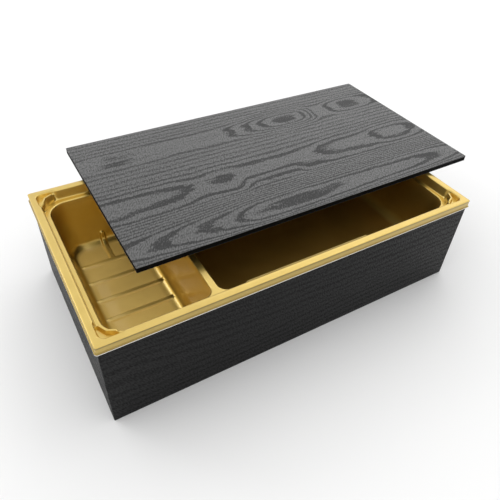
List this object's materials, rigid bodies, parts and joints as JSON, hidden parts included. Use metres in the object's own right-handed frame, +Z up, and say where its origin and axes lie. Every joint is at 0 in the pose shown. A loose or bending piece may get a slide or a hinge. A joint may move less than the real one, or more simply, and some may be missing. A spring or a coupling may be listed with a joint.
{
  "type": "disposable food box",
  "caption": "Take-away food box: a gold formed tray with a divider hangs by its rim in a folded wood-grain foam frame, and a loose flat wood-grain lid lies partly slid off it.",
  "frame": {"origin": "middle of the front board's lower edge, half-way through the board, on the surface that the box stands on", "axes": "+X to the right along the long side, +Y from the front board to the back board, +Z up"},
  "size_m": [0.2909, 0.176, 0.0708],
  "materials": {
    "gold_sheet": "satin gold face on formed plastic sheet",
    "grain_film": "dark grey wood-grain film, finely embossed",
    "frame_film": "black wood-grain film, finely embossed",
    "backing_film": "plain black film",
    "foam_board": "black foamed-plastic board with cut edges, light as card",
    "glue": "cold hot-melt glue"
  },
  "bodies": {
    "frame": {"frame_front_board": "foam_board", "frame_right_board": "foam_board", "frame_back_board": "foam_board", "frame_left_board": "foam_board", "frame_grain_film": "frame_film", "corner_glue_bead": "glue"},
    "tray": {"tray": "gold_sheet"},
    "lid": {"lid_board": "foam_board", "lid_grain_film": "grain_film", "lid_backing_film": "backing_film"}
  },
  "joints": [
    {"name": "tray_lift", "type": "slide", "parent": "frame", "child": "tray", "axis": [0, 0, 1], "range_m": [0, 0.06]},
    {"name": "lid_slide", "type": "slide", "parent": "tray", "child": "lid", "axis": [0.6865, 0.7272, 0], "range_m": [-0.05157, 0.145]}
  ]
}
